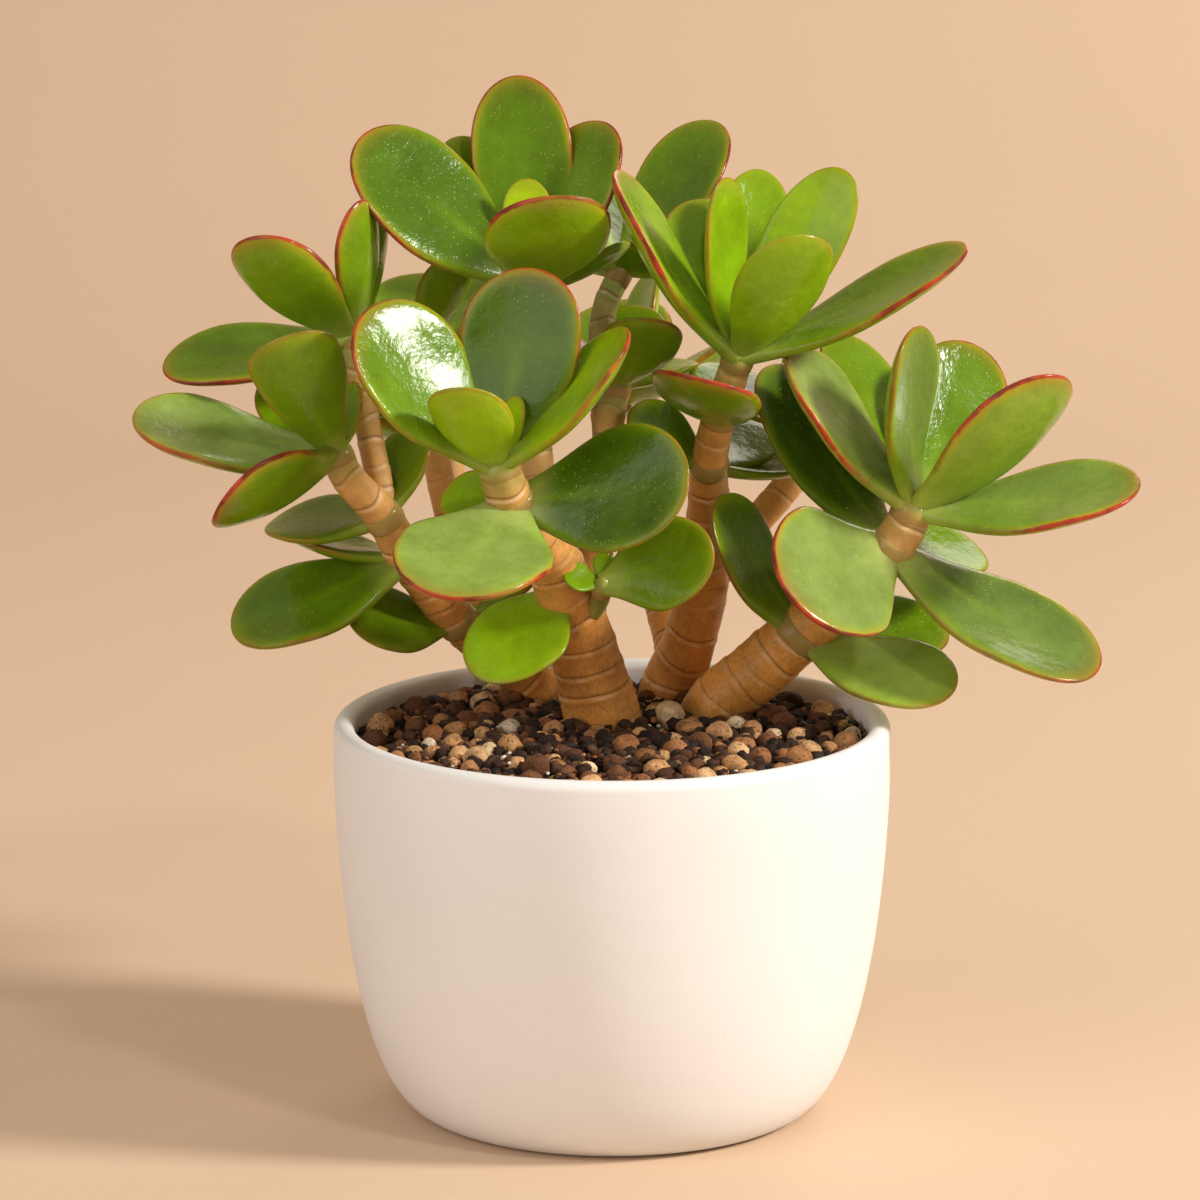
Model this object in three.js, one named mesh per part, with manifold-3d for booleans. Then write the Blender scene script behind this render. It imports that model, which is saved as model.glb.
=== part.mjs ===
// A young jade plant of four woody trunks in a plain white pot filled with gritty potting mix.
// Millimetres, +Z up. The origin is the middle of the pot's flat base, and -Y is the front.
import * as THREE from "three";
import { mergeVertices } from "three/addons/utils/BufferGeometryUtils.js";
import Module from "manifold-3d";

const wasm = await Module();
wasm.setup();

// Driving dimensions of the pot
const POT_HEIGHT = 86;
const RIM_RADIUS = 60;
const BASE_RADIUS = 39.5;
const WALL = 4.5;
const FLOOR = 6.5;
const SHOULDER_HEIGHT = 74;
const SIDE_TAPER = 1;
const FOOT_TUCK = 7.5;
const POT_SEGMENTS = 36;

// Driving dimensions of the potting mix and its clay pellets
const GAP = 0.3;
const MIX_EDGE_HEIGHT = 80.5;
const MIX_CROWN_HEIGHT = 82;
const PELLET_COUNT = 64;
const PELLET_RADIUS = 4.9;
const PELLET_SPREAD = 0.5;
const PELLET_MARGIN = 0.5;
const PELLET_LIFT = 0.5;
const PELLET_SEED = 7;
const GOLDEN_ANGLE = THREE.MathUtils.degToRad(137.508);

// Shape of every leaf: shares of its own length and width
const ROOT_SHARE = 0.26;
const ROOT_FLARE = 1.5;
const BELLY = 0.6;
const TIP_FULLNESS = 2.3;
const BOW = 0.05;
const CUP = 0.1;
const CUP_ONSET = 0.7;
const LEAF_THICKNESS = 0.15;
const LEAF_THICKNESS_BASE = 0.6;
const LEAF_SIDES = 6;
const LEAF_RINGS = 6;

// Shape of the stems and of the ring in which a pair of leaves clasps them
const STEM_SIDES = 7;
const RINGS_PER_SPAN = 2;
const STEM_TENSION = 0.5;
const SIDE_HINT = new THREE.Vector3(0, 1, 0.1);
const COLLAR_LENGTH = 6;
const COLLAR_THICKNESS = 1.8;
const COLLAR_TAPER = 0.4;

// Each stem's middle line from its root to its tip: x, y, z and the stem's radius there
const STEMS = {
  front: [
    [0, 11, 60, 9], [-2, 10, 82, 8.2], [-6, 6, 99, 7.4], [-9, 1, 110, 6.8],
    [-13, -6, 122, 6], [-21, -16, 136, 5], [-24, -20, 145, 4.2],
  ],
  crest: [
    [-8, 3, 107, 3.6], [-13, 9, 123, 3.6], [-16, 13, 138, 3.5],
    [-16, 15, 153, 3.3], [-16, 14, 168, 3.2], [-17, 12, 179, 3],
  ],
  heart: [[-6, 6, 102, 3.8], [-4, 13, 116, 3.8], [-2, 18, 130, 3.6], [-1, 22, 143, 3.3], [1, 24, 155, 3.1]],
  rear: [[-1, 21, 140, 2.9], [-2, 30, 154, 2.9], [-2, 38, 167, 2.8], [2, 42, 177, 2.7]],
  twig: [[-8, 3, 104, 2.2], [-3, -4, 112, 2.1], [-2, -9, 117, 2]],
  middle: [
    [11, 37, 60, 7.2], [13, 38, 82, 6.6], [17, 34, 95, 6], [20, 29, 109, 5.4],
    [21, 22, 126, 4.8], [21, 16, 138, 4], [23, 10, 150, 3.6], [27, 5, 164, 3.3],
  ],
  shoulder: [[19, 31, 104, 3.6], [26, 36, 115, 3.6], [36, 43, 125, 3.4], [45, 49, 135, 3.2]],
  back: [[15, 36, 88, 4], [10, 52, 104, 3.8], [4, 64, 124, 3.5], [1, 70, 143, 3.2]],
  right: [
    [18, 20, 60, 7], [22, 18, 82, 6.8], [32, 15, 93, 6.6], [41, 12, 102, 6.3],
    [51, 9, 112, 5.2], [60, 6, 122, 4.8], [65, 5, 131, 4.4],
  ],
  left: [
    [-10, 36, 60, 5.6], [-15, 34, 82, 5.2], [-25, 28, 93, 4.6], [-34, 20, 103, 4.4],
    [-43, 10, 117, 4.3], [-49, 4, 129, 4], [-56, 0, 138, 3.6], [-59, -1, 144, 3.4],
  ],
  side: [[-48, 5, 127, 2.8], [-51, 8, 141, 2.8], [-54, 9, 156, 2.7], [-56, 10, 168, 2.6]],
  nape: [
    [-30, 24, 98, 3.2], [-34, 30, 116, 3.2], [-38, 32, 134, 3], [-40, 32, 150, 2.8], [-41, 32, 163, 2.6],
  ],
  corner: [[-17, 33, 86, 4], [-26, 46, 100, 3.8], [-34, 56, 118, 3.5], [-37, 60, 135, 3.2]],
};

// Each trunk is one piece of wood: the stem that leaves the soil, then the branches that grow out of it
const TRUNKS = {
  front_trunk: ["front", "crest", "heart", "rear", "twig"],
  middle_trunk: ["middle", "shoulder", "back"],
  right_trunk: ["right"],
  left_trunk: ["left", "side", "nape", "corner"],
};

// Leaves that hold together: the stem they grow on, the point of its line they grow at, and for each leaf
// its compass heading (0 right, 90 away, 180 left, 270 to the front), its rise above level, its length,
// its width, its roll, and where along it the leaf is widest if that isn't BELLY
const LEAF_GROUPS = {
  front_head_leaves: ["front", 6, [
    [185, 49, 43, 29], [50, 73, 42, 27, 20], [353, 46, 40, 24, -10],
    [240, 47, 26, 18, 0, 0.62], [20, 72, 15, 8],
  ]],
  front_upper_leaves: ["front", 5, [[249, -16, 43, 33, -22, 0.5], [334, 12, 42, 28, 25], [145, 2, 18, 14]]],
  front_lower_leaf: ["front", 3.4, [[215, -37, 28, 22, -10, 0.5]]],
  twig_leaves: ["twig", 2, [[345, 22, 26, 20, 20, 0.5], [190, 20, 9, 7], [80, 70, 7, 5]]],
  crest_head_leaves: ["crest", 5, [
    [178, 39, 48, 28, -30], [102, 66, 46, 22], [285, 40, 34, 27, -15, 0.5], [133, 49, 38, 18],
    [38, 60, 38, 24], [40, 10, 26, 18, -30], [110, 78, 22, 11],
  ]],
  rear_head_leaves: ["rear", 3, [
    [46, 46, 42, 23], [150, 20, 34, 24], [0, 5, 20, 14], [300, 40, 10, 8], [100, 30, 34, 22],
  ]],
  heart_head_leaves: ["heart", 4, [
    [295, 40, 26, 18], [35, 8, 20, 16], [75, 35, 24, 16], [190, 20, 24, 20], [140, 25, 28, 20],
  ]],
  middle_head_leaves: ["middle", 7, [
    [186, 56, 48, 27, 12], [250, 74, 41, 17, -20], [78, 57, 44, 17, -10], [25, 57, 46, 18],
    [310, 52, 36, 21, -19, 0.62], [359, 26, 54, 24, -11], [105, 45, 42, 24, -10],
  ]],
  middle_upper_leaves: ["middle", 6, [[261, 23, 35, 24, 9], [78, 10, 30, 20]]],
  middle_lower_leaves: ["middle", 5, [[40, -6, 28, 16, -20], [172, 35, 21, 17], [65, 10, 28, 18]]],
  shoulder_head_leaves: ["shoulder", 3, [
    [60, 15, 38, 24], [20, 10, 36, 24], [100, 35, 28, 20], [150, 10, 28, 22], [280, 60, 20, 12],
  ]],
  back_head_leaves: ["back", 3, [
    [90, 25, 40, 26], [30, 20, 38, 24], [162, 30, 32, 22],
    [60, 60, 32, 20], [225, 35, 26, 18], [330, 25, 24, 18],
  ]],
  right_head_leaves: ["right", 6, [
    [181, 51, 44, 27, -15], [261, 79, 41, 24, -36], [332, 43, 46, 25], [347, 8, 49, 27, 21],
    [62, 44, 44, 24], [119, 47, 46, 24, -10], [95, 75, 18, 9],
  ]],
  right_upper_leaves: ["right", 5, [
    [141, 48, 49, 27, -20], [342, -28, 52, 28, 22], [52, -9, 34, 18], [235, -4, 41, 32, -15, 0.5],
  ]],
  right_lower_leaves: ["right", 3, [
    [329, -15, 38, 24, 32], [205, 56, 37, 21, -24], [112, 5, 22, 16], [25, -3, 36, 20],
  ]],
  left_head_leaves: ["left", 7, [
    [244, 52, 36, 20, -15, 0.78], [190, 11, 44, 29, -15], [222, -15, 34, 23, 36],
    [60, 65, 16, 13], [120, 30, 30, 20],
  ]],
  left_upper_leaves: ["left", 5, [[145, -7, 30, 22, 20], [60, 55, 22, 16]]],
  left_middle_leaves: ["left", 4.2, [[187, -23, 41, 28], [150, 5, 30, 18, 40]]],
  left_lower_leaves: ["left", 3, [[213, 8, 28, 18, -30], [60, 15, 32, 22]]],
  side_head_leaves: ["side", 3, [
    [212, 41, 34, 21, 18], [287, 74, 31, 15, 20], [60, 60, 28, 14, -50], [172, -11, 42, 23, -28],
  ]],
  nape_head_leaves: ["nape", 4, [[300, 55, 26, 14], [62, 21, 30, 20], [115, 0, 30, 20], [95, 20, 30, 20]]],
  corner_head_leaves: ["corner", 3, [
    [115, 25, 40, 26], [170, 20, 36, 24], [62, 20, 32, 22], [90, 65, 30, 18], [230, 40, 22, 16],
  ]],
};

const FINISHES = {
  ceramic: { color: 0xf1ebe2, roughness: 0.55, metalness: 0 },
  mix: { color: 0x4a3222, roughness: 0.95, metalness: 0 },
  bark: { color: 0x9a6a48, roughness: 0.85, metalness: 0 },
  leaf: { color: 0x4f8a2c, roughness: 0.35, metalness: 0 },
};

// A closed geometry as a solid that can be joined and cut
function toSolid(geometry) {
  const bare = geometry.clone();
  bare.deleteAttribute("normal");
  bare.deleteAttribute("uv");
  const merged = mergeVertices(bare, 1e-4);
  return new wasm.Manifold(new wasm.Mesh({
    numProp: 3,
    vertProperties: merged.attributes.position.array,
    triVerts: new Uint32Array(merged.index.array),
  }));
}

// A solid as a geometry
function toGeometry(solid) {
  const mesh = solid.getMesh();
  const geometry = new THREE.BufferGeometry();
  geometry.setAttribute("position", new THREE.BufferAttribute(mesh.vertProperties, 3));
  geometry.setIndex(new THREE.BufferAttribute(mesh.triVerts, 1));
  return geometry;
}

// A random draw that is the same every time
function seededDraw(seed) {
  let state = seed;
  return () => {
    state = (state * 1664525 + 1013904223) % 4294967296;
    return state / 4294967296;
  };
}

// Where a stem's smooth line lies, which way it runs and how thick it is, at a place counted in its points
function stemAt(name, place) {
  const points = STEMS[name];
  const spots = points.map((p) => new THREE.Vector3(p[0], p[1], p[2]));
  const curve = new THREE.CatmullRomCurve3(spots, false, "catmullrom", STEM_TENSION);
  const share = Math.min(place / (points.length - 1), 1);
  const index = Math.min(Math.floor(place), points.length - 2);
  const radius = THREE.MathUtils.lerp(points[index][3], points[index + 1][3], Math.min(place - index, 1));
  return { point: curve.getPoint(share), direction: curve.getTangent(share), radius };
}

// A round bar along a stem's line: a cylinder whose rings are moved onto the line
function limb(name, grow = 0) {
  const spans = STEMS[name].length - 1;
  const geometry = new THREE.CylinderGeometry(1, 1, 1, STEM_SIDES, spans * RINGS_PER_SPAN);
  const position = geometry.attributes.position;
  for (let i = 0; i < position.count; i++) {
    const share = 0.5 + position.getY(i);
    const place = share * spans;
    const { point, direction, radius } = stemAt(name, place);
    const across = new THREE.Vector3().crossVectors(direction, SIDE_HINT).normalize();
    const beyond = new THREE.Vector3().crossVectors(across, direction);
    point.addScaledVector(across, position.getX(i) * (radius + grow));
    point.addScaledVector(beyond, position.getZ(i) * (radius + grow));
    if (share === 0 || share === 1) point.addScaledVector(direction, grow * (2 * share - 1));
    position.setXYZ(i, point.x, point.y, point.z);
  }
  return toSolid(geometry);
}

// The limbs of one trunk joined, grown by a clearance where they are to cut a neighbour
function trunk(names, grow = 0) {
  return wasm.Manifold.union(names.map((name) => limb(name, grow)));
}

// How wide a leaf is at a share of its length: narrow at its root, full at its belly, round at its tip
function widthShare(t, belly) {
  if (t < belly) return ROOT_SHARE + (1 - ROOT_SHARE) * Math.sin((Math.PI / 2) * (t / belly)) ** ROOT_FLARE;
  return Math.sqrt(1 - ((t - belly) / (1 - belly)) ** TIP_FULLNESS);
}

// One fleshy leaf: a ball whose rings become the stations along it, flat above and rounded below
function leaf(stem, place, [heading, rise, length, width, roll = 0, belly = BELLY]) {
  const { point: root, direction: axis } = stemAt(stem, place);
  const [turn, lift, twist] = [heading, rise, roll].map(THREE.MathUtils.degToRad);
  const along = new THREE.Vector3(Math.cos(turn), Math.sin(turn), 0).multiplyScalar(Math.cos(lift));
  along.z = Math.sin(lift);
  const upper = axis.clone().addScaledVector(along, -axis.dot(along)).normalize();
  upper.applyAxisAngle(along, twist);
  const side = new THREE.Vector3().crossVectors(upper, along);
  const thickness = LEAF_THICKNESS * width + LEAF_THICKNESS_BASE;
  const geometry = new THREE.SphereGeometry(1, LEAF_SIDES, LEAF_RINGS);
  const position = geometry.attributes.position;
  for (let i = 0; i < position.count; i++) {
    const t = (1 - position.getY(i)) / 2;
    const ring = Math.hypot(position.getX(i), position.getZ(i)) || 1;
    const reach = (position.getX(i) / ring) * (width / 2) * widthShare(t, belly);
    const swell = (position.getZ(i) / ring) * (thickness / 2) * Math.sqrt(1 - t ** 4);
    const cup = CUP * width * (reach / (width / 2)) ** 2 * Math.min(1, t / CUP_ONSET);
    const bow = -4 * BOW * length * t * (1 - t);
    const point = root.clone().addScaledVector(along, length * t);
    point.addScaledVector(side, reach).addScaledVector(upper, swell + cup + bow);
    position.setXYZ(i, point.x, point.y, point.z);
  }
  return toSolid(geometry);
}

// The short green sleeve in which the roots of leaves meet round their stem, closed over the tip of a stem
function collar(stem, place) {
  const { point, direction, radius } = stemAt(stem, place);
  const outer = radius + COLLAR_THICKNESS;
  const geometry = new THREE.CylinderGeometry(outer - COLLAR_TAPER, outer, COLLAR_LENGTH, STEM_SIDES);
  geometry.rotateX(Math.PI / 2);
  const matrix = new THREE.Matrix4().lookAt(direction, new THREE.Vector3(), SIDE_HINT);
  geometry.applyMatrix4(matrix).translate(point.x, point.y, point.z);
  return toSolid(geometry);
}

// The leaves of one group, joined at their roots and cut clear of the wood that they clasp
function leafGroup([stem, place, rows]) {
  const leaves = rows.map((row) => leaf(stem, place, row));
  const joined = wasm.Manifold.union(rows.length > 1 ? [collar(stem, place), ...leaves] : leaves);
  const wood = Object.values(TRUNKS).find((names) => names.includes(stem));
  return joined.subtract(trunk(wood, GAP));
}

// A profile of radius and height turned round the upright axis
function turned(profile) {
  return toSolid(new THREE.LatheGeometry(profile, POT_SEGMENTS).rotateX(Math.PI / 2));
}

// The curve of the pot's side, moved in by an inset, from under the rim down to a foot at a given height
function sideCurve(inset, foot) {
  return new THREE.CubicBezierCurve(
    new THREE.Vector2(RIM_RADIUS - inset, SHOULDER_HEIGHT),
    new THREE.Vector2(RIM_RADIUS - SIDE_TAPER - inset, SHOULDER_HEIGHT / 2),
    new THREE.Vector2(RIM_RADIUS - FOOT_TUCK - inset, foot),
    new THREE.Vector2(BASE_RADIUS - inset, foot),
  );
}

// The pot: a cup with a softly rounded rim and a flat base
function pot() {
  const lip = new THREE.Path();
  lip.absarc(RIM_RADIUS - WALL / 2, POT_HEIGHT - WALL / 2, WALL / 2, 0, Math.PI, false);
  return turned([
    new THREE.Vector2(0, 0),
    ...sideCurve(0, 0).getPoints(8).reverse(),
    ...lip.getPoints(2),
    ...sideCurve(WALL, FLOOR).getPoints(5),
    new THREE.Vector2(0, FLOOR),
  ]);
}

// The height of the potting mix at a distance from the pot's axis
function mixHeight(distance) {
  const share = distance / (RIM_RADIUS - WALL);
  return MIX_CROWN_HEIGHT - (MIX_CROWN_HEIGHT - MIX_EDGE_HEIGHT) * share * share;
}

// The potting mix: what fills the pot, with clay pellets half sunk in it and a plain hole for each trunk
function pottingMix(wood) {
  const edge = RIM_RADIUS - WALL - GAP;
  const body = turned([
    new THREE.Vector2(0, FLOOR + GAP),
    ...sideCurve(WALL + GAP, FLOOR + GAP).getPoints(4).reverse(),
    new THREE.Vector2(edge, MIX_EDGE_HEIGHT),
    new THREE.Vector2(edge / 2, mixHeight(edge / 2)),
    new THREE.Vector2(0, MIX_CROWN_HEIGHT),
  ]);
  const draw = seededDraw(PELLET_SEED);
  const pellets = [];
  const spread = edge - PELLET_RADIUS - PELLET_SPREAD - PELLET_MARGIN;
  for (let i = 0; i < PELLET_COUNT; i++) {
    const distance = spread * Math.sqrt((i + 0.5) / PELLET_COUNT);
    const radius = PELLET_RADIUS + PELLET_SPREAD * (2 * draw() - 1);
    const pellet = new THREE.IcosahedronGeometry(radius, 0);
    pellet.rotateX(2 * Math.PI * draw()).rotateY(2 * Math.PI * draw());
    const turn = i * GOLDEN_ANGLE;
    const height = mixHeight(distance) + PELLET_LIFT * draw();
    pellet.translate(distance * Math.cos(turn), distance * Math.sin(turn), height);
    pellets.push(toSolid(pellet));
  }
  return wasm.Manifold.union([body, ...pellets]).subtract(wasm.Manifold.union(wood));
}

function addPiece(parent, name, solid, finish) {
  const mesh = new THREE.Mesh(toGeometry(solid), new THREE.MeshStandardMaterial(FINISHES[finish]));
  mesh.name = name;
  parent.add(mesh);
}

const plant = new THREE.Group();
addPiece(plant, "pot", pot(), "ceramic");
addPiece(plant, "potting_mix", pottingMix(Object.values(TRUNKS).map((names) => trunk(names, GAP))), "mix");
for (const [name, stems] of Object.entries(TRUNKS)) addPiece(plant, name, trunk(stems), "bark");
for (const [name, group] of Object.entries(LEAF_GROUPS)) addPiece(plant, name, leafGroup(group), "leaf");

export default plant;
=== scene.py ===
# %% [markdown]
# # A jade plant in a white pot
# A jade plant is a succulent: it keeps water in thick leaves that grow in opposite pairs, and its
# old stems turn to soft brown wood ringed by the scars of fallen leaves. Four such trunks stand
# here in a plain pot of gritty mix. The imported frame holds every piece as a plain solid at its
# true place. This script puts a finely shaped and coloured piece in the place of each one.

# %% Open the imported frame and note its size
import math
import random

import bmesh
import bpy
import numpy as np
from mathutils import Matrix, Vector, noise


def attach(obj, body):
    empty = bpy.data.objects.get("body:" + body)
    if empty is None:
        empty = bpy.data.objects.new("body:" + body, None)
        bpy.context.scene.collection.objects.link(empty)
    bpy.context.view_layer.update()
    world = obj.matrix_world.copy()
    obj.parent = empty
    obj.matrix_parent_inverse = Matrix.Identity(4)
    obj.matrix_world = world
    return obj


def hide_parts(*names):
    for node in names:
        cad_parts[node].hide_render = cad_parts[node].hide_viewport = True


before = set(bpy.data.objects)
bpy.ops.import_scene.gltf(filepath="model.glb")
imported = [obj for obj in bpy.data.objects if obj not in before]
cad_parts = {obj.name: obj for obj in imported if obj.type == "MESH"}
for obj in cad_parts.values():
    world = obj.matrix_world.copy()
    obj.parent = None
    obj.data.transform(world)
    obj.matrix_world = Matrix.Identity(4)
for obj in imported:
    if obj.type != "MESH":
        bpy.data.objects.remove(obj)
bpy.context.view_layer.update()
print("solids in the frame:", len(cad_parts))

# %% [markdown]
# ## The plan of the plant
# Every stem is a smooth line through a few points, and every leaf is a direction, a size and a
# roll on one of those lines. The plant could be sculpted freely, but a list of real sizes keeps
# each leaf where the solid one is. Lengths are in millimetres because that is how a grower would
# measure them, and are turned into metres once, where a mesh is made.

# %% The stems: points of their middle lines with the radius there
MM = 0.001
STEMS = {
    "front": [(0, 11, 60, 9), (-2, 10, 82, 8.2), (-6, 6, 99, 7.4), (-9, 1, 110, 6.8),
              (-13, -6, 122, 6), (-21, -16, 136, 5), (-24, -20, 145, 4.2)],
    "crest": [(-8, 3, 107, 3.6), (-13, 9, 123, 3.6), (-16, 13, 138, 3.5), (-16, 15, 153, 3.3),
              (-16, 14, 168, 3.2), (-17, 12, 179, 3)],
    "heart": [(-6, 6, 102, 3.8), (-4, 13, 116, 3.8), (-2, 18, 130, 3.6), (-1, 22, 143, 3.3),
              (1, 24, 155, 3.1)],
    "rear": [(-1, 21, 140, 2.9), (-2, 30, 154, 2.9), (-2, 38, 167, 2.8), (2, 42, 177, 2.7)],
    "twig": [(-8, 3, 104, 2.2), (-3, -4, 112, 2.1), (-2, -9, 117, 2)],
    "middle": [(11, 37, 60, 7.2), (13, 38, 82, 6.6), (17, 34, 95, 6), (20, 29, 109, 5.4),
               (21, 22, 126, 4.8), (21, 16, 138, 4), (23, 10, 150, 3.6), (27, 5, 164, 3.3)],
    "shoulder": [(19, 31, 104, 3.6), (26, 36, 115, 3.6), (36, 43, 125, 3.4), (45, 49, 135, 3.2)],
    "back": [(15, 36, 88, 4), (10, 52, 104, 3.8), (4, 64, 124, 3.5), (1, 70, 143, 3.2)],
    "right": [(18, 20, 60, 7), (22, 18, 82, 6.8), (32, 15, 93, 6.6), (41, 12, 102, 6.3),
              (51, 9, 112, 5.2), (60, 6, 122, 4.8), (65, 5, 131, 4.4)],
    "left": [(-10, 36, 60, 5.6), (-15, 34, 82, 5.2), (-25, 28, 93, 4.6), (-34, 20, 103, 4.4),
             (-43, 10, 117, 4.3), (-49, 4, 129, 4), (-56, 0, 138, 3.6), (-59, -1, 144, 3.4)],
    "side": [(-48, 5, 127, 2.8), (-51, 8, 141, 2.8), (-54, 9, 156, 2.7), (-56, 10, 168, 2.6)],
    "nape": [(-30, 24, 98, 3.2), (-34, 30, 116, 3.2), (-38, 32, 134, 3), (-40, 32, 150, 2.8),
             (-41, 32, 163, 2.6)],
    "corner": [(-17, 33, 86, 4), (-26, 46, 100, 3.8), (-34, 56, 118, 3.5), (-37, 60, 135, 3.2)],
}
TRUNKS = {
    "front_trunk": ["front", "crest", "heart", "rear", "twig"],
    "middle_trunk": ["middle", "shoulder", "back"],
    "right_trunk": ["right"],
    "left_trunk": ["left", "side", "nape", "corner"],
}
MAIN_STEMS = [names[0] for names in TRUNKS.values()]
print("stems:", len(STEMS), "in trunks:", len(TRUNKS))

# %% The leaves: heading, rise, length, width, at times also roll and place of the widest point
BELLY = 0.6
LEAF_GROUPS = {
    "front_head_leaves": ("front", 6, [
        (185, 49, 43, 29), (50, 73, 42, 27, 20), (353, 46, 40, 24, -10),
        (240, 47, 26, 18, 0, 0.62), (20, 72, 15, 8)]),
    "front_upper_leaves": ("front", 5, [
        (249, -16, 43, 33, -22, 0.5), (334, 12, 42, 28, 25), (145, 2, 18, 14)]),
    "front_lower_leaf": ("front", 3.4, [(215, -37, 28, 22, -10, 0.5)]),
    "twig_leaves": ("twig", 2, [(345, 22, 26, 20, 20, 0.5), (190, 20, 9, 7), (80, 70, 7, 5)]),
    "crest_head_leaves": ("crest", 5, [
        (178, 39, 48, 28, -30), (102, 66, 46, 22), (285, 40, 34, 27, -15, 0.5), (133, 49, 38, 18),
        (38, 60, 38, 24), (40, 10, 26, 18, -30), (110, 78, 22, 11)]),
    "rear_head_leaves": ("rear", 3, [
        (46, 46, 42, 23), (150, 20, 34, 24), (0, 5, 20, 14), (300, 40, 10, 8), (100, 30, 34, 22)]),
    "heart_head_leaves": ("heart", 4, [
        (295, 40, 26, 18), (35, 8, 20, 16), (75, 35, 24, 16), (190, 20, 24, 20),
        (140, 25, 28, 20)]),
    "middle_head_leaves": ("middle", 7, [
        (186, 56, 48, 27, 12), (250, 74, 41, 17, -20), (78, 57, 44, 17, -10), (25, 57, 46, 18),
        (310, 52, 36, 21, -19, 0.62), (359, 26, 54, 24, -11), (105, 45, 42, 24, -10)]),
    "middle_upper_leaves": ("middle", 6, [(261, 23, 35, 24, 9), (78, 10, 30, 20)]),
    "middle_lower_leaves": ("middle", 5, [
        (40, -6, 28, 16, -20), (172, 35, 21, 17), (65, 10, 28, 18)]),
    "shoulder_head_leaves": ("shoulder", 3, [
        (60, 15, 38, 24), (20, 10, 36, 24), (100, 35, 28, 20), (150, 10, 28, 22),
        (280, 60, 20, 12)]),
    "back_head_leaves": ("back", 3, [
        (90, 25, 40, 26), (30, 20, 38, 24), (162, 30, 32, 22), (60, 60, 32, 20), (225, 35, 26, 18),
        (330, 25, 24, 18)]),
    "right_head_leaves": ("right", 6, [
        (181, 51, 44, 27, -15), (261, 79, 41, 24, -36), (332, 43, 46, 25), (347, 8, 49, 27, 21),
        (62, 44, 44, 24), (119, 47, 46, 24, -10), (95, 75, 18, 9)]),
    "right_upper_leaves": ("right", 5, [
        (141, 48, 49, 27, -20), (342, -28, 52, 28, 22), (52, -9, 34, 18),
        (235, -4, 41, 32, -15, 0.5)]),
    "right_lower_leaves": ("right", 3, [
        (329, -15, 38, 24, 32), (205, 56, 37, 21, -24), (112, 5, 22, 16), (25, -3, 36, 20)]),
    "left_head_leaves": ("left", 7, [
        (244, 52, 36, 20, -15, 0.78), (190, 11, 44, 29, -15), (222, -15, 34, 23, 36),
        (60, 65, 16, 13), (120, 30, 30, 20)]),
    "left_upper_leaves": ("left", 5, [(145, -7, 30, 22, 20), (60, 55, 22, 16)]),
    "left_middle_leaves": ("left", 4.2, [(187, -23, 41, 28), (150, 5, 30, 18, 40)]),
    "left_lower_leaves": ("left", 3, [(213, 8, 28, 18, -30), (60, 15, 32, 22)]),
    "side_head_leaves": ("side", 3, [
        (212, 41, 34, 21, 18), (287, 74, 31, 15, 20), (60, 60, 28, 14, -50),
        (172, -11, 42, 23, -28)]),
    "nape_head_leaves": ("nape", 4, [
        (300, 55, 26, 14), (62, 21, 30, 20), (115, 0, 30, 20), (95, 20, 30, 20)]),
    "corner_head_leaves": ("corner", 3, [
        (115, 25, 40, 26), (170, 20, 36, 24), (62, 20, 32, 22), (90, 65, 30, 18),
        (230, 40, 22, 16)]),
}
print("leaves:", sum(len(rows) for _, _, rows in LEAF_GROUPS.values()))

# %% [markdown]
# ## Youth and painted light, sunburn and painted sheen of each leaf
# A young leaf is yellow-green and an old one deep green. The same scale also paints light: a leaf
# with the sun behind it is given the yellow-green glow, and a leaf lying in shadow the deep green
# as painted shade. Strong light also burns a red margin into most leaves, and a few are painted
# paler with a sheen that stands for reflected light and dulls their green. One digit per leaf says
# how young and how lit it is and one how red, from 0 to 9. A third row of digits, where a group
# has one, says how much painted sheen there is. Painting each leaf by hand would look the same but
# couldn't be read or changed so easily.

# %% The digits, in the order of each group's leaves
LEAF_LOOKS = {
    "front_head_leaves": ("31788", "77523"),
    "front_upper_leaves": ("405", "823", "200"),
    "front_lower_leaf": ("6", "2"),
    "twig_leaves": ("455", "200"),
    "crest_head_leaves": ("1263319", "6784524"),
    "rear_head_leaves": ("33454", "55443"),
    "heart_head_leaves": ("45343", "43434"),
    "middle_head_leaves": ("5667634", "8322373"),
    "middle_upper_leaves": ("21", "84"),
    "middle_lower_leaves": ("234", "333"),
    "shoulder_head_leaves": ("34325", "44434"),
    "back_head_leaves": ("343543", "665454"),
    "right_head_leaves": ("3263345", "8398644", "2011000"),
    "right_upper_leaves": ("0132", "2838", "0102"),
    "right_lower_leaves": ("6133", "4233", "2000"),
    "left_head_leaves": ("33446", "54933", "02000"),
    "left_upper_leaves": ("24", "33"),
    "left_middle_leaves": ("23", "34"),
    "left_lower_leaves": ("44", "33"),
    "side_head_leaves": ("5443", "8656"),
    "nape_head_leaves": ("3334", "5444"),
    "corner_head_leaves": ("343543", "665454"),
}
print("groups with looks:", len(LEAF_LOOKS))

# %% [markdown]
# ## Walking along a stem
# Every leaf and every ring of bark needs to know where a stem's line is, which way it runs and how
# thick the stem is there. Blender's own curves could carry this, but a small function gives the
# answer for any place on the line, so the leaves and the wood can share it.

# %% Where a stem is, at a place counted in its points
NEARBY = 0.05


def unit(v):
    return v / np.linalg.norm(v)


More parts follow.
